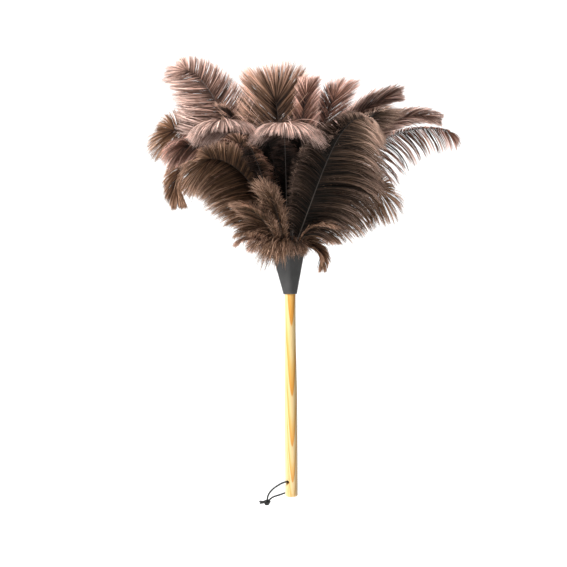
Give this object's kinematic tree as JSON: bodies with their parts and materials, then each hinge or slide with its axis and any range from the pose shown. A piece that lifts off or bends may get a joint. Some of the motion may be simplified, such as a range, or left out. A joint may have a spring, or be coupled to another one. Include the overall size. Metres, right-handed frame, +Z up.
{
  "type": "feather duster",
  "caption": "Ostrich feather duster: turned wooden handle with a hanging cord through a cross hole, flared leatherette cuff and a full head of drooping plumes.",
  "frame": {"origin": "on the handle's axis, in the middle of the cylindrical grip, 90 mm above the handle's end", "axes": "+Z up the handle towards the feathers; -Y towards the viewer; the hanging loop is on the -X side"},
  "size_m": [0.4832, 0.4438, 0.7063],
  "materials": {
    "handle_wood": "clear gloss lacquer over yellow-orange striped grain",
    "cuff_leatherette": "satin, fine grain",
    "tie_wire": "bright drawn wire",
    "hang_cord": "smooth satin round thong",
    "ostrich_plume": "soft natural grey-brown barbs, lighter at the tips"
  },
  "bodies": {
    "duster": {"cuff": "cuff_leatherette", "handle": "handle_wood", "plume_back": "ostrich_plume", "plume_back_left": "ostrich_plume", "plume_back_right": "ostrich_plume", "plume_core_back": "ostrich_plume", "plume_core_front": "ostrich_plume", "plume_core_left": "ostrich_plume", "plume_core_right": "ostrich_plume", "plume_far_right": "ostrich_plume", "plume_front": "ostrich_plume", "plume_front_left": "ostrich_plume", "plume_front_right": "ostrich_plume", "plume_high_right": "ostrich_plume", "plume_inner_back_left": "ostrich_plume", "plume_inner_front": "ostrich_plume", "plume_inner_front_left": "ostrich_plume", "plume_inner_left": "ostrich_plume", "plume_inner_right": "ostrich_plume", "plume_left_back": "ostrich_plume", "plume_left_front": "ostrich_plume", "plume_left_hanging": "ostrich_plume", "plume_low_right": "ostrich_plume", "plume_mid_back": "ostrich_plume", "plume_mid_back_left": "ostrich_plume", "plume_mid_back_right": "ostrich_plume", "plume_mid_front": "ostrich_plume", "plume_mid_front_left": "ostrich_plume", "plume_mid_left": "ostrich_plume", "plume_mid_left_front": "ostrich_plume", "plume_mid_right": "ostrich_plume", "plume_mid_right_front": "ostrich_plume", "plume_tall_left": "ostrich_plume", "plume_top": "ostrich_plume", "plume_top_right": "ostrich_plume", "plume_upper_right": "ostrich_plume", "short_plume_back": "ostrich_plume", "short_plume_back_left": "ostrich_plume", "short_plume_back_right": "ostrich_plume", "short_plume_front": "ostrich_plume", "short_plume_front_right": "ostrich_plume", "short_plume_left": "ostrich_plume", "short_plume_left_back": "ostrich_plume", "short_plume_left_front": "ostrich_plume", "short_plume_right": "ostrich_plume", "short_plume_right_front": "ostrich_plume", "tie_inner": "tie_wire", "tie_middle": "tie_wire", "tie_outer": "tie_wire"},
    "loop": {"hang_cord": "hang_cord", "cord_knot": "hang_cord"}
  },
  "joints": [
    {"name": "loop_swing", "type": "hinge", "parent": "duster", "child": "loop", "pos_m": [0, 0, -0.0653], "axis": [-0.6561, -0.7547, 0], "range_deg": [-90, 205]}
  ]
}
